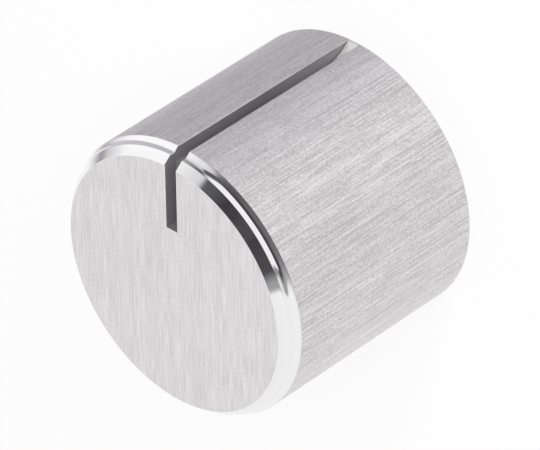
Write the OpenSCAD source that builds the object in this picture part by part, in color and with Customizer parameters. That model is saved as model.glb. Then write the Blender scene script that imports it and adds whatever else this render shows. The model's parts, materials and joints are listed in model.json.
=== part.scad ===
// Potentiometer knob: a solid turned aluminium body with a slot as its pointer line,
// held on a plain round shaft by one grub screw. All sizes are in millimetres.
// The axis is Z, the rear face lies on Z = 0 and the pointer slot faces +Y.

/* [Body] */
// Outside diameter of the body
body_d = 23; // [20:0.5:32]
// Height from the rear face to the front face
body_h = 20; // [17:0.5:30]
// Edge break around the rear face
rear_break = 0.05; // [0.05:0.05:0.6]

/* [Rim] */
// Width of the inner bevel, across the front face
inner_bevel_w = 0.58; // [0.3:0.02:1.2]
// Drop of the inner bevel, along the axis
inner_bevel_h = 0.67; // [0.3:0.01:1.2]
// Height of the narrow upright land between the two bevels
land_h = 0.43; // [0.2:0.01:1.2]
// Width of the outer bevel, across the front face
outer_bevel_w = 0.38; // [0.2:0.02:1]
// Drop of the outer bevel, along the axis
outer_bevel_h = 0.4; // [0.2:0.02:1]

/* [Pointer slot] */
// Width of the slot
slot_w = 1.1; // [0.6:0.1:2]
// Depth of the slot, below the side and below the front face
slot_d = 1.2; // [0.6:0.1:2]
// Distance from the axis to the slot's inner end on the face
slot_start = 4.95; // [2:0.05:8]
// Distance from the rear face to where the slot runs out of the side
slot_end = 0.15; // [0.1:0.05:3]
// Radius of the disc cutter, which leaves a curved run-out at the slot's rear end
cutter_r = 3.4; // [2.5:0.1:6]

/* [Shaft bore] */
// Diameter of the shaft that the knob goes on
shaft_d = 6; // [4:0.05:7]
// Radial clearance between the shaft and the bore
shaft_clearance = 0.02; // [0.005:0.005:0.05]
// Metal between the end of the bore's wall and the front face
face_t = 3.5; // [3.2:0.1:5]
// Chamfer at the bore's mouth
bore_chamfer = 0.3; // [0.1:0.1:0.8]
// Angle of the drilled cone at the bore's end
drill_angle = 118; // [90:1:140]

/* [Nut recess] */
// Diameter of the recess that clears the potentiometer's nut
recess_d = 15.5; // [12:0.5:16]
// Depth of the recess
recess_h = 5; // [2:0.5:6]
// Edge break around the recess's mouth
recess_break = 0.2; // [0.05:0.05:0.6]

/* [Grub screw] */
// Thread diameter of the grub screw
grub_d = 3; // [2:0.5:4]
// Length of the grub screw
grub_l = 6; // [4:0.5:6]
// Radial play between the screw and its tapped hole
thread_play = 0.03; // [0.01:0.01:0.1]
// Gap between the shaft bore and the screw's tip, with the screw backed off
tip_gap = 0.3; // [0.1:0.1:0.6]
// Diameter of the cup at the screw's tip
cup_d = 1.4; // [0.8:0.1:1.8]
// Chamfer at the screw's driven end
grub_chamfer = 0.35; // [0.1:0.05:0.4]
// Size of the hex key, across flats
key_af = 1.5; // [0.9:0.1:1.5]
// Depth of the hex socket
key_depth = 2; // [1:0.1:2.5]
// Countersink at the mouth of the tapped hole
mouth_break = 0.3; // [0.1:0.1:0.6]

/* [Hidden] */
$fn = 128;

// How far a cutting shape runs past the surface that it cuts
overcut = 1;
body_r = body_d / 2;
land_r = body_r - outer_bevel_w;
face_r = land_r - inner_bevel_w;
land_top = body_h - inner_bevel_h;
land_foot = land_top - land_h;
side_top = land_foot - outer_bevel_h;

// Height of the disc cutter's centre where it lifts out of the side
runout_z = slot_end + sqrt(pow(cutter_r, 2) - pow(cutter_r - slot_d, 2));

bore_r = shaft_d / 2 + shaft_clearance;
bore_end = body_h - face_t;
cone_h = bore_r / tan(drill_angle / 2);
recess_r = recess_d / 2;

grub_r = grub_d / 2;
grub_hole_r = grub_r + thread_play;
// The screw bears on the middle of the bore's wall
grub_z = (recess_h + bore_end) / 2;
grub_tip = bore_r + tip_gap;
cup_r = cup_d / 2;
cup_angle = 120;
cup_h = cup_r / tan(cup_angle / 2);
hex_corner_r = key_af / 2 / cos(30);

// Half section of the body, from the middle of the face round to the bore's drilled end
module knob_section() {
    polygon([
        [0, body_h],
        [face_r, body_h],
        [land_r, land_top],
        [land_r, land_foot],
        [body_r, side_top],
        [body_r, rear_break],
        [body_r - rear_break, 0],
        [recess_r + recess_break, 0],
        [recess_r, recess_break],
        [recess_r, recess_h],
        [bore_r + bore_chamfer, recess_h],
        [bore_r, recess_h + bore_chamfer],
        [bore_r, bore_end],
        [0, bore_end + cone_h]
    ]);
}

// The slot's cutter: one leg down the side to its curved run-out, one leg across the face to its inner end
module pointer_slot() {
    translate([-slot_w / 2, body_r - slot_d, runout_z])
        cube([slot_w, slot_d + overcut, body_h - runout_z + overcut]);
    translate([-slot_w / 2, body_r - slot_d + cutter_r, runout_z])
        rotate([0, 90, 0])
            cylinder(h = slot_w, r = cutter_r);
    translate([-slot_w / 2, slot_start, body_h - slot_d])
        cube([slot_w, body_r - slot_start + overcut, slot_d + overcut]);
}

// Places its children with their Z axis on the grub screw's axis, from the shaft outwards
module on_grub_axis() {
    translate([0, 0, grub_z])
        rotate([90, 0, 0])
            children();
}

// The tapped hole's cutter, from the bore to the side, with its countersunk mouth
module grub_hole() {
    on_grub_axis() {
        cylinder(h = body_r + overcut, r = grub_hole_r);
        translate([0, 0, body_r - mouth_break])
            cylinder(h = mouth_break + overcut, r1 = grub_hole_r, r2 = grub_hole_r + mouth_break + overcut);
    }
}

// Half section of the grub screw, from the cup's bottom round to the driven end
module grub_section() {
    polygon([
        [0, cup_h],
        [cup_r, 0],
        [grub_r, grub_r - cup_r],
        [grub_r, grub_l - grub_chamfer],
        [grub_r - grub_chamfer, grub_l],
        [0, grub_l]
    ]);
}

module knob_body() {
    color([0.84, 0.83, 0.835])
        difference() {
            rotate_extrude()
                knob_section();
            pointer_slot();
            grub_hole();
        }
}

module grub_screw() {
    color([0.2, 0.2, 0.21])
        on_grub_axis()
            translate([0, 0, grub_tip])
                difference() {
                    rotate_extrude()
                        grub_section();
                    translate([0, 0, grub_l - key_depth])
                        cylinder(h = key_depth + overcut, r = hex_corner_r, $fn = 6);
                }
}

knob_body();
grub_screw();
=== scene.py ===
# %% [markdown]
# # A turned aluminium potentiometer knob
# This lesson dresses a small control knob that was first built as plain CAD solids. The real knob is one
# piece of aluminium bar: turned round, brushed, given a bright-cut rim, slotted for a pointer line, and held
# on its shaft by a grub screw. Everything that is made below sits in that frame, so nothing has to be fitted
# afterwards.

# %% Load the frame
import json
import math

import bmesh
import bpy
from mathutils import Matrix, Vector


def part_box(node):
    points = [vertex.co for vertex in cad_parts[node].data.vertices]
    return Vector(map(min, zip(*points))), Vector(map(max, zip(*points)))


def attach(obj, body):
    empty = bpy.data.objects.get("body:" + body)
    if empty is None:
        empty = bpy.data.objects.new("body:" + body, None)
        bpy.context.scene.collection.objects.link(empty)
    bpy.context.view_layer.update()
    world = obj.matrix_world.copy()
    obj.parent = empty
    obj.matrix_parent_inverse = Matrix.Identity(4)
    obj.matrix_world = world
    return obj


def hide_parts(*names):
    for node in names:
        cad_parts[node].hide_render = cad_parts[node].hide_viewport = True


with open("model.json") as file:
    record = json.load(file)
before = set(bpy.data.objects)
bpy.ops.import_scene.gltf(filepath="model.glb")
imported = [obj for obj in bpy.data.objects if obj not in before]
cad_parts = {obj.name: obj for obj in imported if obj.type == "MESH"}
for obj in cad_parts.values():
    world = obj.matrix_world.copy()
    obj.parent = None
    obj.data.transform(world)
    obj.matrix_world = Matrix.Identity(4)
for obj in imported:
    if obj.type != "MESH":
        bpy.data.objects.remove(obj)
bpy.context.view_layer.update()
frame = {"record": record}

# %% [markdown]
# ## Sizes
# A turned part is drawn from its section, in millimetres, as on a workshop drawing. The outside sizes, the
# bore and the screw could be typed in again, but they are read from the frame, so that they can't drift from
# it. Only the small sizes of the rim, the slot and the rear repeat the drawing.

# %% Outside sizes, from the frame
MM = 0.001
mounts = {mount["name"]: mount for mount in frame["record"]["mounts"]}
body_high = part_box("knob_body")[1]
screw_low, screw_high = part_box("grub_screw")

body_r = body_high.x / MM
body_h = body_high.z / MM
bore_r = mounts["shaft_bore"]["dims"]["r_mm"]
screw_r = screw_high.x / MM
screw_tip = -screw_high.y / MM
screw_end = -screw_low.y / MM
screw_z = (screw_low.z + screw_high.z) / 2 / MM
print(f"body {2 * body_r:.2f} x {body_h:.2f} mm, bore {2 * bore_r:.2f} mm, screw at {screw_z:.2f} mm")

# %% Rim, slot and rear, from the drawing
inner_bevel_w = 0.58
inner_bevel_h = 0.67
land_h = 0.43
outer_bevel_w = 0.38
outer_bevel_h = 0.40
land_r = body_r - outer_bevel_w
face_r = land_r - inner_bevel_w
land_top = body_h - inner_bevel_h
land_foot = land_top - land_h
side_top = land_foot - outer_bevel_h

slot_w = 1.1
slot_d = 1.2
slot_start = 4.95
slot_end = 0.15
cutter_r = 3.4

rear_break = 0.05
recess_r = 7.75
recess_h = 5.0
recess_break = 0.2
bore_chamfer = 0.3
face_thickness = 3.5
bore_end = body_h - face_thickness
drill_angle = math.radians(118)
print(f"rim from r {face_r:.2f} at z {body_h:.2f} to r {body_r:.2f} at z {side_top:.2f} mm")

# %% [markdown]
# ## The camera
# A catalogue picture has the flat perspective of a long lens. A short lens close by would show more of the
# rim than of the rear, so the camera stands far off. The knob stands on its rear face here, so the camera is
# rolled until the pointer line runs up the picture, as it does on a panel.

# %% Camera
camera_azimuth = math.radians(46.62)
camera_elevation = math.radians(36.03)
camera_roll = math.radians(-122.73)
camera_distance = 461.8
camera_lens = 412.9
aim_point = Vector((0.23, 0.0, 9.76))


def direction(azimuth, elevation):
    """The unit vector that points to a place in the sky, with azimuth counted from +X to +Y."""
    flat = math.cos(elevation)
    return Vector((flat * math.cos(azimuth), flat * math.sin(azimuth), math.sin(elevation)))


back = direction(camera_azimuth, camera_elevation)
level_right = Vector((-math.sin(camera_azimuth), math.cos(camera_azimuth), 0))
level_up = back.cross(level_right)
right = level_right * math.cos(camera_roll) + level_up * math.sin(camera_roll)
up = back.cross(right)

camera_data = bpy.data.cameras.new("photo_camera")
camera_data.lens = camera_lens
camera_data.sensor_width = 36
camera = bpy.data.objects.new("photo_camera", camera_data)
camera_axes = Matrix((right, up, back)).transposed().to_4x4()
camera.matrix_world = Matrix.Translation((aim_point + back * camera_distance) * MM) @ camera_axes
bpy.context.scene.collection.objects.link(camera)
bpy.context.scene.camera = camera
print("camera at", [round(value, 4) for value in camera.location])

# %% [markdown]
# ## Points and faces
# A turned surface is a stack of rows: each row is a circle of points at one radius and height. A screw
# modifier could spin such a section too, but the slot and the tapped hole have to be cut into it cleanly.
# So the rows are made one by one and bridged with quads. The helper below collects them for one piece, and
# keeps the finish of every face, so that one piece can carry a brushed face, a bright rim and a painted slot.

# %% Mesh helper
WELD = 0.0005
SHARP_ANGLE = math.radians(25)


class Skin:
    """Collects the points, faces and finishes of one piece, and makes it into an object."""

    def __init__(self):
        self.points = []
        self.faces = []
        self.finishes = []

    def row(self, points):
        """Adds points, in millimetres, and returns their numbers."""
        first = len(self.points)
        self.points += [Vector(point) for point in points]
        return list(range(first, len(self.points)))

    def face(self, corners, finish):
        """Adds one face between numbered points."""
        self.faces.append(corners)
        self.finishes.append(finish)

    def bridge(self, row_a, row_b, finish, closed=True, skip=()):
        """Quads between two rows of the same length. Columns in skip stay open."""
        count = len(row_a)
        for i in range(count if closed else count - 1):
            if i not in skip:
                j = (i + 1) % count
                self.face([row_a[i], row_a[j], row_b[j], row_b[i]], finish)

    def piece(self, name, materials):
        """The finished object. materials gives each finish its material, in slot order."""
        mesh = bpy.data.meshes.new(name)
        mesh.from_pydata([point * MM for point in self.points], [], self.faces)
        order = list(materials)
        for material in materials.values():
            mesh.materials.append(material)
        for polygon, finish in zip(mesh.polygons, self.finishes):
            polygon.material_index = order.index(finish)
        sheet = bmesh.new()
        sheet.from_mesh(mesh)
        bmesh.ops.remove_doubles(sheet, verts=sheet.verts, dist=WELD * MM)
        bmesh.ops.recalc_face_normals(sheet, faces=sheet.faces)
        open_edges = sum(1 for edge in sheet.edges if not edge.is_manifold)
        sheet.to_mesh(mesh)
        sheet.free()
        mesh.shade_smooth()
        mesh.set_sharp_from_angle(angle=SHARP_ANGLE)
        made = bpy.data.objects.new(name, mesh)
        bpy.context.scene.collection.objects.link(made)
        print(f"{name}: {len(mesh.polygons)} faces, {open_edges} open edges")
        return made


print("mesh helper ready")

# %% [markdown]
# ## The finishes, by name
# The knob has five finishes and the screw one. Each gets an empty material now, because the faces have to
# point at something. They could be dressed at once, but that is left until the shapes that they cover are
# known, because a finish follows its shape.

# %% Empty materials
def empty_material(name):
    """A material with no nodes yet."""
    made = bpy.data.materials.new(name)
    made.use_nodes = True
    made.node_tree.nodes.clear()
    return made


knob_finishes = {
    "face": empty_material("brushed_face"),
    "side": empty_material("brushed_side"),
    "rim": empty_material("bright_cut_rim"),
    "rear": empty_material("turned_rear"),
    "paint": empty_material("pointer_paint"),
}
screw_finishes = {"oxide": empty_material("black_oxide_steel")}
print("finishes:", list(knob_finishes), list(screw_finishes))

# %% [markdown]
# ## The outline of the knob
# On the lathe the rim is cut in one pass: a bevel down from the face, a narrow upright land, and a second
# bevel down to the side. No tool leaves a perfectly sharp corner. The nose of the tool leaves a large arc at
# the land's foot, and the edges are broken a little. A bevel modifier could round them, with one radius for
# all. Here the arcs are drawn into the outline, so each has its own, and a support point close beside each
# arc keeps the bands between them flat in the smooth shading.

# %% Soft corners
face_edge_soft = 0.03
land_edge_soft = 0.03
tool_nose = 0.5
side_edge_soft = 0.12
rear_edge_soft = 0.02
ARC_STEPS = 8
SUPPORT = 0.02


def rounded(corners, radii):
    """An outline through the corners, in (r, z), with each inner corner turned into an arc."""
    corners = [Vector(corner) for corner in corners]
    line = [corners[0]]
    for before, corner, after, radius in zip(corners, corners[1:], corners[2:], radii):
        to_before = (before - corner).normalized()
        to_after = (after - corner).normalized()
        half = to_before.angle(to_after) / 2
        reach = radius / math.tan(half)
        centre = corner + (to_before + to_after).normalized() * radius / math.sin(half)
        start = corner + to_before * reach - centre
        end = corner + to_after * reach - centre
        first = math.atan2(start.y, start.x)
        sweep = (math.atan2(end.y, end.x) - first + math.pi) % (2 * math.pi) - math.pi
        line.append(corner + to_before * (reach + SUPPORT))
        for step in range(ARC_STEPS + 1):
            angle = first + sweep * step / ARC_STEPS
            line.append(centre + radius * Vector((math.cos(angle), math.sin(angle))))
        line.append(corner + to_after * (reach + SUPPORT))
    return line + [corners[-1]]


print("tool nose", tool_nose, "mm, side edge", side_edge_soft, "mm")

# %% Outline
slot_edge = 0.025
slot_half = slot_w / 2
edge_x = slot_half + slot_edge
face_ring = math.hypot(slot_start - slot_edge, edge_x)

PATCH = 25
patch_half = 2.45
patch_heights = [screw_z + patch_half - 2 * patch_half * i / PATCH for i in range(PATCH + 1)]

rim_corners = [
    (face_ring, body_h),
    (face_r, body_h),
    (land_r, land_top),
    (land_r, land_foot),
    (body_r, side_top),
    (body_r, patch_heights[0]),
]
rear_corners = [
    (body_r, slot_end),
    (body_r, rear_break),
    (body_r - rear_break, 0),
    (recess_r + recess_break, 0),
]
upper = rounded(rim_corners, [face_edge_soft, land_edge_soft, tool_nose, side_edge_soft])
lower = rounded(rear_corners, [rear_edge_soft, rear_edge_soft])[:-1]
outline = upper + [Vector((body_r, z)) for z in patch_heights[1:]] + lower
end_row = len(outline) - len(lower)
print(f"outline: {len(outline)} points, of which {len(upper)} down to the tapped hole")

# %% [markdown]
# ## Rows round the knob
# The slot has straight parallel sides, so its edges aren't lines of constant angle. It could be cut out
# with a boolean, but that leaves slivers along the rim. Instead, each circle that the slot cuts starts at the
# slot's one edge and ends at the other, at an angle that depends on its radius. That keeps both edges
# exactly straight, from the face over the rim and down the side. Behind the slot's end the rows close into
# whole rings.

# %% Rows
COLUMNS = 360
BORE_COLUMNS = COLUMNS // 3
FACE_TOLERANCE = 0.00025
top_angle = math.pi / 2


def slotted_row(r, z):
    """A circle from the slot's left edge round to its right edge."""
    gap = math.asin(edge_x / r)
    angles = [top_angle + gap + (2 * math.pi - 2 * gap) * k / (COLUMNS - 1) for k in range(COLUMNS)]
    return [(r * math.cos(angle), r * math.sin(angle), z) for angle in angles]


def whole_row(r, z, count):
    """A whole circle. A bore row lines up with every third point of a full row."""
    angles = [top_angle + 2 * math.pi * (k + 0.5) / count for k in range(count)]
    return [(r * math.cos(angle), r * math.sin(angle), z) for angle in angles]


def finish_at(point):
    """The finish of the outline near a point in (r, z)."""
    if point.y > body_h - FACE_TOLERANCE:
        return "face"
    if point.y > side_top:
        return "rim"
    return "side" if point.y > rear_break + rear_edge_soft else "rear"


knob = Skin()
rows = [knob.row(slotted_row(r, z)) for r, z in outline]
patch_rows = range(len(upper) - 1, len(upper) - 1 + PATCH)
patch_first = (COLUMNS - 1 - PATCH) // 2
patch_columns = range(patch_first, patch_first + PATCH)
for i, (point, after) in enumerate(zip(outline, outline[1:])):
    finish = finish_at((point + after) / 2)
    open_columns = patch_columns if i in patch_rows else ()
    knob.bridge(rows[i], rows[i + 1], finish, closed=i >= end_row, skip=open_columns)
knob.face(rows[0], "face")
print("rows:", len(rows), "with", COLUMNS, "points each")

# %% [markdown]
# ## The pointer slot
# A small disc cutter makes the slot over the face and down the side. Where it lifts out, just before the
# rear edge, it leaves a curved run-out. The slot could be a dark stripe in the material, but a real wall and
# floor give it their own shadow from every side. A hair-fine strip along each edge, left by deburring,
# catches the light.

# %% Slot section
slot_floor = body_r - slot_d
face_floor = body_h - slot_d
cutter_y = slot_floor + cutter_r
cutter_z = slot_end + math.sqrt(cutter_r ** 2 - (cutter_r - slot_d) ** 2)
RUNOUT_STEPS = 12


def inset(i):
    """Where the slot's wall begins below point i of the outline, in (y, z)."""
    along = (outline[i + 1] - outline[max(i - 1, 0)]).normalized()
    r, z = outline[i] + slot_edge * Vector((along.y, -along.x))
    return (math.sqrt(r * r - slot_half * slot_half), z)


wall_top = [(slot_start, body_h - slot_edge)] + [inset(i) for i in range(1, end_row)]
runout_angle = math.acos((cutter_r - slot_d + slot_edge) / cutter_r)
runout = []
for k in range(RUNOUT_STEPS + 1):
    angle = runout_angle * (1 - k / RUNOUT_STEPS)
    runout.append((cutter_y - cutter_r * math.cos(angle), cutter_z - cutter_r * math.sin(angle)))
wall_foot = [(slot_floor, face_floor), (slot_start, face_floor)]
print(f"run-out: from z {runout[0][1]:.2f} to z {runout[-1][1]:.2f} mm")

# %% Slot walls and floor
walls = []
for side, column in ((-1, 0), (1, COLUMNS - 1)):
    edge = [row[column] for row in rows[:end_row + 1]]
    wall = knob.row([(side * slot_half, y, z) for y, z in wall_top + runout + wall_foot])
    knob.bridge(edge, wall[:end_row + 1], "rim", closed=False)
    knob.face(wall, "paint")
    walls.append((edge, wall))

(edge_l, wall_l), (edge_r, wall_r) = walls
knob.face([edge_l[0], edge_r[0], wall_r[0], wall_l[0]], "rim")
knob.face([edge_l[-1], edge_r[-1], wall_r[end_row], wall_l[end_row]], "rim")
for i in range(end_row, len(wall_l)):
    j = (i + 1) % len(wall_l)
    knob.face([wall_l[i], wall_r[i], wall_r[j], wall_l[j]], "paint")
print(f"slot: {slot_w:.2f} mm wide, {slot_d:.2f} mm deep, from {slot_start:.2f} mm out on the face")

# %% [markdown]
# ## The tapped hole
# Opposite the slot a hole runs from the side to the shaft bore, countersunk at its mouth and tapped for the
# grub screw. A boolean cut would break up the long quads of the side and spoil its highlight. So the side's
# rows leave a square patch open there, and rings of points blend that square into the round mouth while
# they stay on the cylinder.

# %% Mouth of the tapped hole
thread_play = 0.03
mouth_break = 0.3
hole_r = screw_r + thread_play
hole_top = body_r - mouth_break
LOOP = 4 * PATCH
BLEND_SHARES = (0.35, 0.7, 1)
SETTLING_STEPS = 20
first_corner = math.radians(135)
loop_turns = [first_corner - 2 * math.pi * k / LOOP for k in range(LOOP)]


def patch_loop(patch, first):
    """The numbers round an open patch: along its top, down, back along its foot and up again."""
    last = first + PATCH
    loop = patch[0][first:last]
    loop += [row[last] for row in patch[:-1]]
    loop += patch[-1][last:first:-1]
    loop += [row[first] for row in patch[:0:-1]]
    return loop


def on_cylinder(x, z, r):
    """The point at x and z on the -Y half of an upright cylinder."""
    return (x, -math.sqrt(r * r - x * x), z)


def mouth_radius(turn):
    """Where the countersink's cone meets the round side."""
    radius = hole_r
    for _ in range(SETTLING_STEPS):
        radius = hole_r + math.sqrt(body_r ** 2 - (radius * math.cos(turn)) ** 2) - hole_top
    return radius


ring = patch_loop(rows[patch_rows.start:patch_rows.stop + 1], patch_first)
patch_points = [knob.points[k] for k in ring]
mouth_radii = [mouth_radius(turn) for turn in loop_turns]
for share in BLEND_SHARES:
    blend_points = []
    for start, radius, turn in zip(patch_points, mouth_radii, loop_turns):
        x = start.x + share * (radius * math.cos(turn) - start.x)
        z = start.z + share * (screw_z + radius * math.sin(turn) - start.z)
        blend_points.append(on_cylinder(x, z, body_r))
    next_ring = knob.row(blend_points)
    knob.bridge(ring, next_ring, "side")
    ring = next_ring
print(f"mouth: {2 * max(mouth_radii):.2f} mm across")

# %% [markdown]
# ## The thread
# A tap cuts a groove that climbs by one pitch in each turn. It could be left to a bump, but the mouth of the
# hole is open to view, so the thread is real: along the hole, every point's radius follows one groove
# function of place and turn. The grub screw uses the same function, so crest and root mesh.

# %% Thread of the tapped hole
thread_pitch = 0.5
thread_depth = 0.27
crest_share = 0.1
flank_share = 0.75
thread_fade = 0.3
thread_clear = 0.1
thread_foot = bore_r + thread_clear
THREAD_STEPS = 8
thread_step = thread_pitch / THREAD_STEPS


def clamp(value):
    """The value, kept between 0 and 1."""
    return min(max(value, 0), 1)


def thread_groove(s, turn):
    """How deep the screw's thread is cut at s along its axis: 0 on a crest, 1 at a root."""
    phase = (s / thread_pitch + turn / (2 * math.pi)) % 1
    return clamp((1 - abs(2 * phase - 1) - crest_share) / flank_share)


def on_screw_axis(radius, s, turn):
    """A point round the screw's axis, which runs out along -Y."""
    return (radius * math.cos(turn), -s, screw_z + radius * math.sin(turn))


next_ring = knob.row([on_screw_axis(hole_r, hole_top, turn) for turn in loop_turns])
knob.bridge(ring, next_ring, "rim")
ring = next_ring
for k in range(int(hole_top / thread_step), int(thread_foot / thread_step), -1):
    s = k * thread_step
    depth = thread_depth * clamp(min(hole_top - s, s - thread_foot) / thread_fade)
    radii = [hole_r - depth * thread_groove(s, turn) for turn in loop_turns]
    next_ring = knob.row([on_screw_axis(radius, s, turn) for radius, turn in zip(radii, loop_turns)])
    knob.bridge(ring, next_ring, "rear")
    ring = next_ring

hole_end = [on_screw_axis(hole_r, 0, turn) for turn in loop_turns]
hole_end_ring = knob.row([on_cylinder(x, z, bore_r) for x, y, z in hole_end])
knob.bridge(ring, hole_end_ring, "rear")
print(f"tapped hole: {2 * hole_r:.2f} mm, pitch {thread_pitch:.2f} mm")

# %% [markdown]
# ## Rear face, nut recess and shaft bore
# The rear was never in the picture, so it is finished plainly: a flat ring, a recess that clears the nut of
# the potentiometer, and a drilled bore with the cone that the drill's point leaves at its end. The bore could
# keep all the columns of the outside, but it is much smaller, so it gets by with a third of them.

# %% Rear face and recess
rear_rows = [rows[-1]]
for r, z in ((recess_r + recess_break, 0), (recess_r, recess_break), (recess_r, recess_h)):
    rear_rows.append(knob.row(whole_row(r, z, COLUMNS)))
    knob.bridge(rear_rows[-2], rear_rows[-1], "rear")

recess_floor = rear_rows[-1]
mouth = knob.row(whole_row(bore_r + bore_chamfer, recess_h, BORE_COLUMNS))
for j in range(BORE_COLUMNS):
    fine = [recess_floor[(3 * j + k) % COLUMNS] for k in (1, 2, 3, 4)]
    knob.face([mouth[(j + 1) % BORE_COLUMNS], mouth[j]] + fine, "rear")
print(f"recess: {2 * recess_r:.2f} mm across, {recess_h:.2f} mm deep")

# %% Shaft bore
bore_patch_first = (BORE_COLUMNS - 1 - PATCH) // 2
bore_patch_half = bore_r * math.sin(math.pi * PATCH / BORE_COLUMNS)
bore_heights = [screw_z + bore_patch_half - 2 * bore_patch_half * i / PATCH for i in range(PATCH + 1)]
bore_patch = [knob.row(whole_row(bore_r, z, BORE_COLUMNS)) for z in bore_heights]
bore_columns = range(bore_patch_first, bore_patch_first + PATCH)
for row_a, row_b in zip(bore_patch, bore_patch[1:]):
    knob.bridge(row_a, row_b, "rear", skip=bore_columns)
knob.bridge(hole_end_ring, patch_loop(bore_patch, bore_patch_first), "rear")

tip_share = 0.02
drill_point = bore_end + bore_r / math.tan(drill_angle / 2)
tip_z = drill_point + (bore_end - drill_point) * tip_share
bore_mouth = knob.row(whole_row(bore_r, recess_h + bore_chamfer, BORE_COLUMNS))
bore_top = knob.row(whole_row(bore_r, bore_end, BORE_COLUMNS))
cone_tip = knob.row(whole_row(bore_r * tip_share, tip_z, BORE_COLUMNS))
knob.bridge(mouth, bore_mouth, "rear")
knob.bridge(bore_mouth, bore_patch[-1], "rear")
knob.bridge(bore_patch[0], bore_top, "rear")
knob.bridge(bore_top, cone_tip, "rear")
knob.face(cone_tip, "rear")
knob_piece = knob.piece("knob", knob_finishes)

# %% [markdown]
# ## The grub screw
# A grub screw is a short headless screw: a rolled thread, a cup point that bites into the shaft, and a hex
# socket for the key. Its ends could be trimmed with booleans. Here the smallest of three radii, the thread
# and the cones at both ends, gives the trimmed form at once, in rows that match from end to end.

# %% Section of the grub screw
cup_r = 0.7
cup_angle = math.radians(120)
cup_depth = cup_r / math.tan(cup_angle / 2)
end_chamfer = 0.35
key_half = 0.75
key_depth = 2.0
key_break = 0.08
key_cone = 0.25
SCREW_COLUMNS = 96
screw_turns = [2 * math.pi * k / SCREW_COLUMNS for k in range(SCREW_COLUMNS)]


def screw_radius(s, turn):
    """The thread, or the cone at the tip or at the driven end where that is smaller."""
    thread = screw_r - thread_depth * thread_groove(s, turn)
    return min(thread, cup_r + s - screw_tip, screw_r - end_chamfer + screw_end - s)


def hex_radius(turn):
    """The hex socket's outline, with flats of one key size."""
    sixth = math.pi / 3
    return key_half / math.cos((turn + sixth / 2) % sixth - sixth / 2)


print(f"grub screw: {2 * screw_r:.2f} x {screw_end - screw_tip:.2f} mm, key {2 * key_half:.2f} mm")

# %% Grub screw
screw = Skin()


def screw_row(radius_at, s):
    """A row round the screw, at s along its axis."""
    return screw.row([on_screw_axis(radius_at(turn), s, turn) for turn in screw_turns])


first_step = int(screw_tip / thread_step) + 1
last_step = int(screw_end / thread_step)
thread_places = [k * thread_step for k in range(first_step, last_step + 1)]
screw_rows = [screw_row(lambda turn: cup_r * tip_share, screw_tip + cup_depth * (1 - tip_share))]
for s in [screw_tip] + thread_places + [screw_end]:
    screw_rows.append(screw_row(lambda turn: screw_radius(s, turn), s))
screw_rows.append(screw_row(lambda turn: hex_radius(turn) + key_break, screw_end))
screw_rows.append(screw_row(hex_radius, screw_end - key_break))
screw_rows.append(screw_row(hex_radius, screw_end - key_depth + key_cone))
screw_rows.append(screw_row(lambda turn: key_half * tip_share, screw_end - key_depth))
for row_a, row_b in zip(screw_rows, screw_rows[1:]):
    screw.bridge(row_a, row_b, "oxide")
screw.face(screw_rows[0], "oxide")
screw.face(screw_rows[-1], "oxide")
screw_piece = screw.piece("grub_screw_visual", screw_finishes)

# %% [markdown]
# ## Building with nodes
# A procedural finish is a small network. It could be wired by hand in the shader editor, but then it couldn't
# be read here. One helper adds a node and fills its inputs, with plain values or with links from other
# nodes, and a few more name the common kinds. The finishes work in millimetres on the piece itself, so a
# brush line keeps its real width however close the picture is taken.

# %% Node helpers
def add(tree, kind, inputs=None, **settings):
    """Adds a node. inputs maps a socket's name or number to a value or to another node's output."""
    made = tree.nodes.new(kind)
    for name, value in settings.items():
        setattr(made, name, value)
    for key, value in (inputs or {}).items():
        if isinstance(value, bpy.types.NodeSocket):
            tree.links.new(value, made.inputs[key])
        else:
            made.inputs[key].default_value = value
    return made


def calc(tree, operation, *values):
    """The result of one sum, such as ADD or MULTIPLY."""
    return add(tree, "ShaderNodeMath", dict(enumerate(values)), operation=operation).outputs[0]


def vector(tree, operation, *values):
    """The same for vectors."""
    return add(tree, "ShaderNodeVectorMath", dict(enumerate(values)), operation=operation).outputs["Vector"]


def dot(tree, vector_a, vector_b):
    """How far one vector reaches along another."""
    inputs = {0: vector_a, 1: vector_b}
    return add(tree, "ShaderNodeVectorMath", inputs, operation="DOT_PRODUCT").outputs["Value"]


def length(tree, value):
    """The length of a vector."""
    return add(tree, "ShaderNodeVectorMath", {0: value}, operation="LENGTH").outputs["Value"]


def remap(tree, value, low, high, new_low, new_high):
    """Stretches a value from one range to another, clamped at both ends."""
    inputs = {"Value": value, "From Min": low, "From Max": high, "To Min": new_low, "To Max": new_high}
    return add(tree, "ShaderNodeMapRange", inputs).outputs["Result"]


def blend(tree, share, colour_a, colour_b):
    """A mix of two colours, which are inputs 6 and 7 of the mix node."""
    mix = add(tree, "ShaderNodeMix", {0: share, 6: colour_a, 7: colour_b}, data_type="RGBA")
    return mix.outputs[2]


def noise(tree, place, scale, **inputs):
    """Smooth noise from 0 to 1, around one half."""
    return add(tree, "ShaderNodeTexNoise", {"Vector": place, "Scale": scale, **inputs}).outputs[0]


print("node helpers ready")

# %% Surface and group helpers
VECTOR = "NodeSocketVector"
FLOAT = "NodeSocketFloat"


def place_mm(tree):
    """Where a point lies on the piece, in millimetres."""
    place = add(tree, "ShaderNodeTexCoord").outputs["Object"]
    return vector(tree, "MULTIPLY", place, (1 / MM, 1 / MM, 1 / MM))


def split(tree, place):
    """The x, y and z of a place."""
    return add(tree, "ShaderNodeSeparateXYZ", {0: place}).outputs


def relief(tree, height, depth):
    """The normal of a bump with a depth in millimetres."""
    bump = add(tree, "ShaderNodeBump", {"Strength": 1.0, "Distance": depth * MM, "Height": height})
    return bump.outputs["Normal"]


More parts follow.
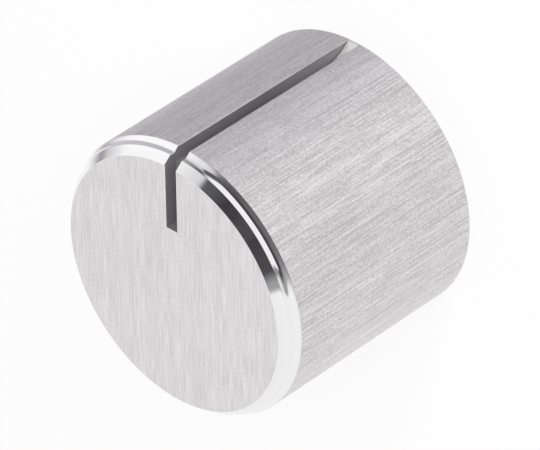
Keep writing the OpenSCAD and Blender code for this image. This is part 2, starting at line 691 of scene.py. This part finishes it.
def surface(tree, **inputs):
    """The Principled surface and the material's output."""
    inputs = {name.replace("_", " "): value for name, value in inputs.items()}
    shader = add(tree, "ShaderNodeBsdfPrincipled", inputs)
    add(tree, "ShaderNodeOutputMaterial", {"Surface": shader.outputs["BSDF"]})


def new_group(name, inputs, output):
    """An empty node group with one float output. inputs maps a name to its kind of socket."""
    group = bpy.data.node_groups.new(name, "ShaderNodeTree")
    for socket, kind in inputs.items():
        group.interface.new_socket(socket, in_out="INPUT", socket_type=kind)
    group.interface.new_socket(output, in_out="OUTPUT", socket_type=FLOAT)
    return group, add(group, "NodeGroupInput").outputs, add(group, "NodeGroupOutput").inputs


def use(tree, group, **inputs):
    """The output of a node group that is placed in a material."""
    return add(tree, "ShaderNodeGroup", inputs, node_tree=group).outputs[0]


print("surface and group helpers ready")

# %% [markdown]
# ## Brush lines
# A brush leaves many fine scratches, all along one grain: broad faint bands, single sharp scratches that are
# long or short, some bright and some dark, and specks where the grit bit or jumped. One stretched noise could
# stand for them, but it looks like wood. So four layers are added up, each with the width and length of its
# kind of mark, in a group that the face and the side place with shares of their own.

# %% Brush lines
brush_inputs = {"Place": VECTOR, "Grain": VECTOR}
brush_inputs.update({name: FLOAT for name in ("Broad", "Long", "Short", "Specks")})
brush_lines, brush_in, brush_out = new_group("brush_lines", brush_inputs, "Lines")
along_grain = dot(brush_lines, brush_in["Place"], brush_in["Grain"])


def grain_noise(width, reach):
    """Noise that is squeezed along the grain, into streaks of one width and length."""
    squeeze = calc(brush_lines, "MULTIPLY", along_grain, width / reach - 1)
    shift = vector(brush_lines, "MULTIPLY", brush_in["Grain"], squeeze)
    place = vector(brush_lines, "ADD", brush_in["Place"], shift)
    return noise(brush_lines, place, 0.5 / width, Detail=0.0)


def scratches(width, reach, share):
    """One even layer of scratches, around zero."""
    even = calc(brush_lines, "SUBTRACT", grain_noise(width, reach), 0.5)
    return calc(brush_lines, "MULTIPLY", even, share)


def nicks(width, reach, share):
    """One layer of single sharp scratches, some bright and some dark, with bare metal between them."""
    streaks = grain_noise(width, reach)
    bright = remap(brush_lines, streaks, 0.57, 0.68, 0.0, 0.4)
    dark = remap(brush_lines, streaks, 0.43, 0.32, 0.0, 0.5)
    return calc(brush_lines, "MULTIPLY", calc(brush_lines, "SUBTRACT", bright, dark), share)


all_lines = scratches(width=0.22, reach=16, share=brush_in["Broad"])
for layer in (
    nicks(width=0.055, reach=4, share=brush_in["Long"]),
    nicks(width=0.055, reach=1.2, share=brush_in["Short"]),
    scratches(width=0.08, reach=0.1, share=brush_in["Specks"]),
):
    all_lines = calc(brush_lines, "ADD", all_lines, layer)
brush_lines.links.new(remap(brush_lines, all_lines, -0.24, 0.24, 0.0, 1.0), brush_out["Lines"])
print("brush lines:", len(brush_lines.nodes), "nodes")

# %% [markdown]
# ## Tool rings and hand marks
# A lathe tool leaves rings, which depend on the radius or the height alone, so a noise along one line is
# enough. Handling leaves faint patches where skin oil dulls the metal. Several finishes show both, so they
# are groups too. Each could be painted into the colour, but as masks they can also change the polish.

# %% Tool rings and hand marks
FLAT = (1, 1, 0)

tool_rings, rings_in, rings_out = new_group("tool_rings", {"Place": VECTOR, "Pitch": FLOAT}, "Rings")
ring_radius = length(tool_rings, vector(tool_rings, "MULTIPLY", rings_in["Place"], FLAT))
along_tool = calc(tool_rings, "ADD", ring_radius, split(tool_rings, rings_in["Place"])[2])
ring_noise = add(
    tool_rings,
    "ShaderNodeTexNoise",
    {
        "W": calc(tool_rings, "DIVIDE", along_tool, rings_in["Pitch"]),
        "Scale": 1.0,
        "Detail": 2.0,
        "Roughness": 0.6,
    },
    noise_dimensions="1D",
).outputs[0]
tool_rings.links.new(remap(tool_rings, ring_noise, 0.3, 0.7, 0.0, 1.0), rings_out["Rings"])

hand_marks, marks_in, marks_out = new_group("hand_marks", {"Place": VECTOR}, "Marks")
patches = noise(hand_marks, marks_in["Place"], 0.22, Detail=4.0, Roughness=0.55, Distortion=0.4)
hand_marks.links.new(remap(hand_marks, patches, 0.42, 0.72, 0.0, 1.0), marks_out["Marks"])
print("groups:", [group.name for group in (brush_lines, tool_rings, hand_marks)])

# %% [markdown]
# ## Brushed aluminium
# The face is brushed straight along the pointer line, and the side along the axis. Both are the same metal
# with the same network, only the grain runs another way. Scratches that are too fine to draw spread the
# reflection across the grain: that is what Anisotropic does, with a Tangent that circles the grain's axis.
# A plain rough metal would look cast, not brushed. The face has a clear film that scatters a little light, so
# it isn't wholly metallic.

# %% Brushed face and side
oil_tint = 0.06
oil_dulling = 0.04


def brushed(material, grain, axis, metal, colours, shares):
    """Dresses a material with a grain along one axis, between a dark and a light colour."""
    tree = material.node_tree
    place = place_mm(tree)
    lines = use(tree, brush_lines, Place=place, Grain=grain, **shares)
    marks = use(tree, hand_marks, Place=place)
    clean = blend(tree, lines, *colours)
    oiled = calc(tree, "MULTIPLY", marks, oil_tint)
    satin = remap(tree, lines, 0.0, 1.0, 0.50, 0.40)
    surface(
        tree,
        Base_Color=blend(tree, oiled, clean, (0.62, 0.60, 0.60, 1)),
        Metallic=metal,
        Roughness=calc(tree, "MULTIPLY_ADD", marks, oil_dulling, satin),
        Anisotropic=0.7,
        Tangent=add(tree, "ShaderNodeTangent", direction_type="RADIAL", axis=axis).outputs[0],
        Normal=relief(tree, lines, 0.005),
    )


face_shares = {"Broad": 0.2, "Long": 0.12, "Short": 0.4, "Specks": 0.45}
side_shares = {"Broad": 0.13, "Long": 0.26, "Short": 0.28, "Specks": 0.57}
face_colours = (0.665, 0.647, 0.653, 1), (0.79, 0.774, 0.78, 1)
side_colours = (0.648, 0.627, 0.641, 1), (0.908, 0.886, 0.902, 1)
brushed(knob_finishes["face"], (0, 1, 0), "Y", 0.75, face_colours, face_shares)
brushed(knob_finishes["side"], (0, 0, 1), "Z", 1.0, side_colours, side_shares)
print("brushed: face", face_shares, "side", side_shares)

# %% [markdown]
# ## The bright-cut rim
# The rim is cut last, with a polished tool, and comes out almost like a mirror. It could be painted light and
# dark, but then the stretches would stay in place when the knob turns. Its polish makes it show the studio
# instead: white cloth on most of the round, and the dark doorway on one stretch. Very fine tool rings run
# round it, and the outer bevel is a little more satin than the rest.

# %% Bright rim
def bright_rim(material):
    """Dresses the rim."""
    tree = material.node_tree
    place = place_mm(tree)
    rings = use(tree, tool_rings, Place=place, Pitch=0.06)
    marks = use(tree, hand_marks, Place=place)
    satin = remap(tree, split(tree, place)[2], land_foot, side_top, 0.0, 0.16)
    polished = calc(tree, "MULTIPLY_ADD", marks, 0.03, remap(tree, rings, 0.0, 1.0, 0.09, 0.05))
    surface(
        tree,
        Base_Color=blend(tree, rings, (0.89, 0.885, 0.89, 1), (0.93, 0.925, 0.93, 1)),
        Metallic=1.0,
        Roughness=calc(tree, "ADD", polished, satin),
        Normal=relief(tree, rings, 0.0003),
    )


bright_rim(knob_finishes["rim"])
print("bright rim: satin from z", round(land_foot, 2), "to z", round(side_top, 2), "mm")

# %% [markdown]
# ## The turned rear
# The rear face, the recess and the bore are left as the lathe and the drill made them. They could share the
# rim's finish, but nobody polishes what a panel hides, so the tool rings are plain and coarser.

# %% Turned rear
def turned_rear(material):
    """Dresses the rear face, the recess, the bore and the thread."""
    tree = material.node_tree
    place = place_mm(tree)
    rings = use(tree, tool_rings, Place=place, Pitch=0.12)
    marks = use(tree, hand_marks, Place=place)
    surface(
        tree,
        Base_Color=blend(tree, rings, (0.66, 0.65, 0.655, 1), (0.76, 0.75, 0.755, 1)),
        Metallic=1.0,
        Roughness=calc(tree, "MULTIPLY_ADD", marks, 0.08, remap(tree, rings, 0.0, 1.0, 0.38, 0.26)),
        Normal=relief(tree, rings, 0.003),
    )


turned_rear(knob_finishes["rear"])
print("turned rear:", len(knob_finishes["rear"].node_tree.nodes), "nodes")

# %% [markdown]
# ## Pointer paint
# Thin dark paint is wiped into the slot. It dries satin and a little uneven, and is worn off along the top of
# the walls. Towards the run-out it is lightened with painted light from the bright floor, the corner at the
# wall's foot is darkened with painted shade, and the paint is wiped off the shallow floor, where the bare cut
# metal scatters the light. Separate materials could show these places with hard borders. Masks from the place
# in the slot give soft ones, in one material.

# %% Paint film and bare places
# Painted shade in the corner where the wall meets the run-out floor: its reach, its height and how dark it
# gets.
crease_shade_reach = 0.4
crease_shade_height = 0.9
crease_shade_share = 0.75
wall_margin = 0.01


def paint_film(tree, place, mottle):
    """The paint's colour: uneven, lightened towards the run-out as painted light, and darkened in the corner
    as painted shade.
    """
    z = split(tree, place)[2]
    film = blend(tree, mottle, (0.156, 0.146, 0.16, 1), (0.228, 0.215, 0.234, 1))
    # Painted light: the paint is lightened towards the run-out, where the bright floor lights the wall.
    runout_light = remap(tree, z, 2.0, 9.0, 0.5, 0.0)
    film = blend(tree, runout_light, film, (0.45, 0.44, 0.445, 1))
    # Painted shade: darker towards the corner where the wall meets the curved run-out floor.
    from_cutter = vector(tree, "SUBTRACT", place, (0, cutter_y, cutter_z))
    swing = length(tree, vector(tree, "MULTIPLY", from_cutter, (0, 1, 1)))
    corner = remap(tree, swing, cutter_r - crease_shade_reach, cutter_r, 0.0, crease_shade_share)
    near_end = remap(tree, z, cutter_z - crease_shade_height, cutter_z, 1.0, 0.0)
    crease_shade = calc(tree, "MULTIPLY", corner, near_end)
    return blend(tree, crease_shade, film, (0.09, 0.085, 0.093, 1))


def worn_edge(tree, place, mottle):
    """1 where the paint is worn off, in an uneven strip below the side and the face."""
    radius = length(tree, vector(tree, "MULTIPLY", place, FLAT))
    below_side = calc(tree, "SUBTRACT", body_r, radius)
    below_face = calc(tree, "SUBTRACT", body_h, split(tree, place)[2])
    depth = calc(tree, "MINIMUM", below_side, below_face)
    strip = remap(tree, mottle, 0.3, 0.7, 0.02, 0.12)
    return remap(tree, calc(tree, "SUBTRACT", strip, depth), -0.02, 0.02, 0.0, 1.0)


def wiped_floor(tree, place, mottle):
    """1 on the floor of the run-out, with an uneven border."""
    x, y, z = split(tree, place)
    on_floor = calc(tree, "LESS_THAN", calc(tree, "ABSOLUTE", x), slot_half - wall_margin)
    wiped = remap(tree, calc(tree, "ADD", z, mottle), 2.2, 2.8, 1.0, 0.0)
    return calc(tree, "MULTIPLY", on_floor, wiped)


# The painted shade in the slot's corner lies below this height.
print(f"paint gathers below z {cutter_z:.2f} mm")

# %% Pointer paint
cut_shine = 0.3


def pointer_paint(material):
    """Dresses the slot."""
    tree = material.node_tree
    place = place_mm(tree)
    mottle = noise(tree, place, 2.5, Detail=4.0, Roughness=0.6)
    bare = worn_edge(tree, place, mottle)
    cut = wiped_floor(tree, place, mottle)
    colour = blend(tree, bare, paint_film(tree, place, mottle), (0.76, 0.75, 0.74, 1))
    surface(
        tree,
        Base_Color=blend(tree, cut, colour, (0.68, 0.675, 0.665, 1)),
        Metallic=calc(tree, "MAXIMUM", bare, calc(tree, "MULTIPLY", cut, cut_shine)),
        Roughness=remap(tree, mottle, 0.3, 0.7, 0.32, 0.5),
        Normal=relief(tree, mottle, 0.01),
    )


pointer_paint(knob_finishes["paint"])
print("pointer paint:", len(knob_finishes["paint"].node_tree.nodes), "nodes")

# %% [markdown]
# ## Black oxide
# The screw is hardened steel, blackened in a hot bath. A plain black would do from afar, but the layer is
# thin and slightly cloudy, and keeps a dull metallic sheen. So it is a dark metal with a cloudy polish.

# %% Black oxide steel
def black_oxide(material):
    """Dresses the grub screw."""
    tree = material.node_tree
    place = place_mm(tree)
    cloud = noise(tree, place, 3.0, Detail=5.0)
    marks = use(tree, hand_marks, Place=place)
    tone = remap(tree, cloud, 0.3, 0.7, 0.0, 1.0)
    surface(
        tree,
        Base_Color=blend(tree, tone, (0.05, 0.05, 0.055, 1), (0.11, 0.11, 0.12, 1)),
        Metallic=0.9,
        Roughness=calc(tree, "MULTIPLY_ADD", marks, 0.05, remap(tree, cloud, 0.3, 0.7, 0.28, 0.42)),
        Normal=relief(tree, cloud, 0.004),
    )


black_oxide(screw_finishes["oxide"])
print("black oxide:", len(screw_finishes["oxide"].node_tree.nodes), "nodes")

# %% [markdown]
# ## The studio
# Bright metal shows what stands round it, so the studio is half of its look. Such a picture is taken in a
# light tent: white cloth all round, and a dark doorway that the camera looks through. The tent could be
# built from planes, but those would also throw shadows and show in other views. So it is painted on the
# sky as a few areas with soft straight edges, each bounded by planes through the knob.

# %% Edges in the sky
world = bpy.data.worlds.new("light_tent")
bpy.context.scene.world = world
world.use_nodes = True
sky = world.node_tree
sky.nodes.clear()
toward = add(sky, "ShaderNodeTexCoord").outputs["Generated"]
height = split(sky, toward)[2]


def degrees(azimuth, elevation):
    """A place in the sky, in degrees."""
    return direction(math.radians(azimuth), math.radians(elevation))


def beside(first, second, soft):
    """1 on the left of the line from one place in the sky to another, 0 on its right, soft in degrees."""
    normal = first.cross(second).normalized()
    reach = math.sin(math.radians(soft))
    return remap(sky, dot(sky, toward, normal), -reach, reach, 0.0, 1.0)


def left_of(azimuth, soft):
    """1 to the left of an upright edge in the sky, which is towards a higher azimuth."""
    return beside(degrees(azimuth, 80), degrees(azimuth, 0), soft)


def right_of(azimuth, soft):
    """1 to the right of an upright edge in the sky."""
    return beside(degrees(azimuth, 0), degrees(azimuth, 80), soft)


print("upright and slanted edges ready")

# %% Areas in the sky
def above(low, high):
    """1 above a level edge in the sky, which is soft from one height to another."""
    return remap(sky, height, low, high, 0.0, 1.0)


def below(low, high):
    """1 below a level edge in the sky."""
    return remap(sky, height, low, high, 1.0, 0.0)


def within(*masks):
    """1 where every mask is 1."""
    overlap = masks[0]
    for mask in masks[1:]:
        overlap = calc(sky, "MINIMUM", overlap, mask)
    return overlap


def between(first, second, soft):
    """1 between two upright edges, from the lower azimuth to the higher one."""
    return within(left_of(first, soft), right_of(second, soft))


def layered(colour, layers):
    """A colour with others laid over it, each through its own mask."""
    for mask, over in layers:
        colour = blend(sky, mask, colour, over)
    return colour


print("areas and layers ready")

# %% [markdown]
# ## The doorway
# The dark stretch on the rim is the doorway, and the grey steps in it are what stands there: a glow on the
# left, a post and a card on the right, and a dim card high up. A plain black opening would be simpler, but it
# would give the rim a flat black band, without the grey steps that make it look like metal.

# %% Doorway
door_foot = remap(sky, height, -0.62, -0.30, 0.12, 1.0)
doorway = within(between(-3.6, 104, 1.5), below(0.9, 0.94), door_foot)
left_glow = left_of(86, 6)
upper_card = above(0.73, 0.80)
right_card = within(beside(degrees(3, 45.5), degrees(60, 53), 2.5), right_of(45, 25))
right_post = within(left_of(-4, 1.5), right_of(7.5, 3.5))
right_foot = within(between(8.5, 16.5, 1.5), below(-0.2, -0.1))

clutter = remap(sky, noise(sky, toward, 5.0, Detail=2.0), 0.35, 0.65, 0.0, 1.0)
dark_room = blend(sky, clutter, (0.05, 0.0435, 0.047, 1), (0.079, 0.0745, 0.083, 1))
dark_room = layered(dark_room, (
    (left_glow, (0.10, 0.102, 0.108, 1)),
    (upper_card, (0.125, 0.118, 0.12, 1)),
    (right_card, (0.42, 0.42, 0.425, 1)),
    (right_post, (0.36, 0.36, 0.365, 1)),
))
print("doorway: from azimuth -3.6 to 104 degrees")

# %% [markdown]
# ## The table
# A white sheet runs over the table and out of the doorway: the upright land shows it as the white line in
# the dark stretch. To the left of the sheet the table carries a grey painted shadow of the knob, which gives
# the side its darker left part. Near the knob the table has painted light on one side and painted shadow on
# the other, with a strip of painted shade beyond. A pool of painted light and a narrow dark gap lie farther
# round. One grey floor could not give both the white line and the darker part.

# %% Table
sheet_left = beside(degrees(103, -36), degrees(86, 10), 3)
sheet = within(sheet_left, left_of(16, 1.5), below(0.11, 0.17))

# Painted shadow of the knob on the table in the sky, between these edges.
shadow_start = beside(degrees(101, -30), degrees(138, -60), 3)
shadow_end = beside(degrees(188, -60), degrees(197, 0), 4)
below_cloth = beside(degrees(190, 8), degrees(102, -12), 7)
table_shadow = within(shadow_start, shadow_end, below_cloth, above(-0.95, -0.88))
# Near the knob: painted light on one side and painted shadow on the other, a strip of painted shade, and in
# front a pool of painted light (lit_patch).
near_share = below(-0.67, -0.61)
near_shade_strip = within(right_of(121, 8), above(-0.66, -0.62), below(-0.55, -0.50))
lit_patch = within(between(-15, 42, 8), below(-0.72, -0.64))
dark_gap = within(between(185, 191, 2), below(-0.03, 0.03), above(-0.14, -0.08))

# Greys of the painted shadow: darker below azimuth 155, lighter beyond it.
far_shadow = blend(sky, left_of(155, 25), (0.46, 0.455, 0.475, 1), (0.60, 0.585, 0.62, 1))
# Painted light below azimuth 150, painted shadow of the knob beyond it.
near_light_and_shadow = blend(sky, left_of(150, 18), (1.0, 0.985, 1.02, 1), (0.20, 0.19, 0.21, 1))
table_top = layered(far_shadow, ((near_share, near_light_and_shadow), (near_shade_strip, (0.12, 0.118, 0.124, 1))))
# The grey table that this prints is the knob's painted shadow.
print("table: bare from azimuth 101 to 197 degrees")

# %% [markdown]
# ## The tent together
# The cloth is brightest where a window would be and dimmer beside the doorway. The doorway, the table and the
# sheet are laid over it. Mirrored rays see this tent. Diffuse rays get one even grey, so that matt
# surfaces are lit plainly from all sides, and the camera sees a plain white background.

# %% Tent colours
lit_share = remap(sky, dot(sky, toward, degrees(150, 40)), -0.4, 0.9, 0.0, 1.0)
door_side = between(70, 121, 12)
cloth = blend(sky, lit_share, (0.93, 0.93, 0.93, 1), (1.03, 1.03, 1.03, 1))
cloth = blend(sky, door_side, cloth, (0.72, 0.72, 0.73, 1))
sky_ray = add(sky, "ShaderNodeLightPath").outputs
# Laid over the cloth: the table's painted shadow, the doorway, the sheet and the pool of painted light.
tent = layered(cloth, (
    (table_shadow, table_top),
    (doorway, dark_room),
    (sheet, (0.95, 0.95, 0.95, 1)),
    (right_foot, (0.30, 0.30, 0.305, 1)),
    (lit_patch, (1.15, 1.15, 1.15, 1)),
    (dark_gap, (0.36, 0.355, 0.375, 1)),
    (sky_ray["Is Diffuse Ray"], (0.6, 0.6, 0.6, 1)),
    (sky_ray["Is Camera Ray"], (1, 1, 1, 1)),
))
background = add(sky, "ShaderNodeBackground", {"Color": tent, "Strength": 1.0})
add(sky, "ShaderNodeOutputWorld", {"Surface": background.outputs[0]})
print("light tent:", len(sky.nodes), "nodes")

# %% [markdown]
# ## Key light
# One large soft lamp lights the floor and gives the knob a soft shadow. A small lamp or a sun would draw a
# hard one. Mirrored rays don't see the lamp, because the tent already has its own bright places.

# %% Key light
lamp_data = bpy.data.lights.new("key_light", "AREA")
lamp_data.shape = "DISK"
lamp_data.size = 0.25
lamp_data.energy = 1.1
lamp_distance = 0.4
lamp = bpy.data.objects.new("key_light", lamp_data)
lamp.location = lamp_distance * degrees(55, 42)
lamp.rotation_euler = lamp.location.to_track_quat("Z", "Y").to_euler()
lamp.visible_glossy = False
bpy.context.scene.collection.objects.link(lamp)
print("lamp at", [round(value, 3) for value in lamp.location], "m")

# %% [markdown]
# ## Floor
# The floor is plain white paper. More light could make it white, but would burn out the metal. So to the
# camera alone most of it is a glow, nearly as white as the background, and the shadow stays as a faint tone.
# Mirrored rays pass through it, because the tent has its own table, and from below it is clear.

# %% Floor
floor_half = 1.5
floor_gap = 0.02
camera_glow = 0.85
floor_corners = [(-1, -1), (1, -1), (1, 1), (-1, 1)]
floor_points = [(x * floor_half, y * floor_half, -floor_gap * MM) for x, y in floor_corners]
floor_mesh = bpy.data.meshes.new("floor")
floor_mesh.from_pydata(floor_points, [], [(0, 1, 2, 3)])
floor = bpy.data.objects.new("floor", floor_mesh)
floor.visible_glossy = False
bpy.context.scene.collection.objects.link(floor)


def white_paper(material):
    """Dresses the floor."""
    tree = material.node_tree
    fibres = noise(tree, place_mm(tree), 3.0, Detail=3.0)
    tone = blend(tree, fibres, (0.89, 0.89, 0.89, 1), (0.93, 0.93, 0.93, 1))
    matte = add(tree, "ShaderNodeBsdfDiffuse", {"Color": tone})
    glow = add(tree, "ShaderNodeEmission", {"Color": (1, 1, 1, 1), "Strength": 1.0})
    ray = add(tree, "ShaderNodeLightPath").outputs
    glow_share = calc(tree, "MULTIPLY", ray["Is Camera Ray"], camera_glow)
    paper = add(tree, "ShaderNodeMixShader", {0: glow_share, 1: matte.outputs[0], 2: glow.outputs[0]})
    from_below = add(tree, "ShaderNodeNewGeometry").outputs["Backfacing"]
    clear = add(tree, "ShaderNodeBsdfTransparent")
    both_sides = add(tree, "ShaderNodeMixShader", {0: from_below, 1: paper.outputs[0], 2: clear.outputs[0]})
    add(tree, "ShaderNodeOutputMaterial", {"Surface": both_sides.outputs[0]})


floor_mesh.materials.append(empty_material("white_paper"))
white_paper(floor_mesh.materials[0])
bpy.context.scene.view_settings.view_transform = "Standard"
print("floor:", 2 * floor_half, "m square")

# %% [markdown]
# ## Into the frame
# The plain solids and the finer pieces describe the same two things. They could be kept as two models, but
# then they would drift apart. So both pieces ride on the one body of the frame and stand in for the plain
# solids.

# %% Hand over
for made, node, material_slot in (
    (knob_piece, "knob_body", "knob_aluminium"),
    (screw_piece, "grub_screw", "grub_steel"),
):
    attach(made, "root")
    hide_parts(node)
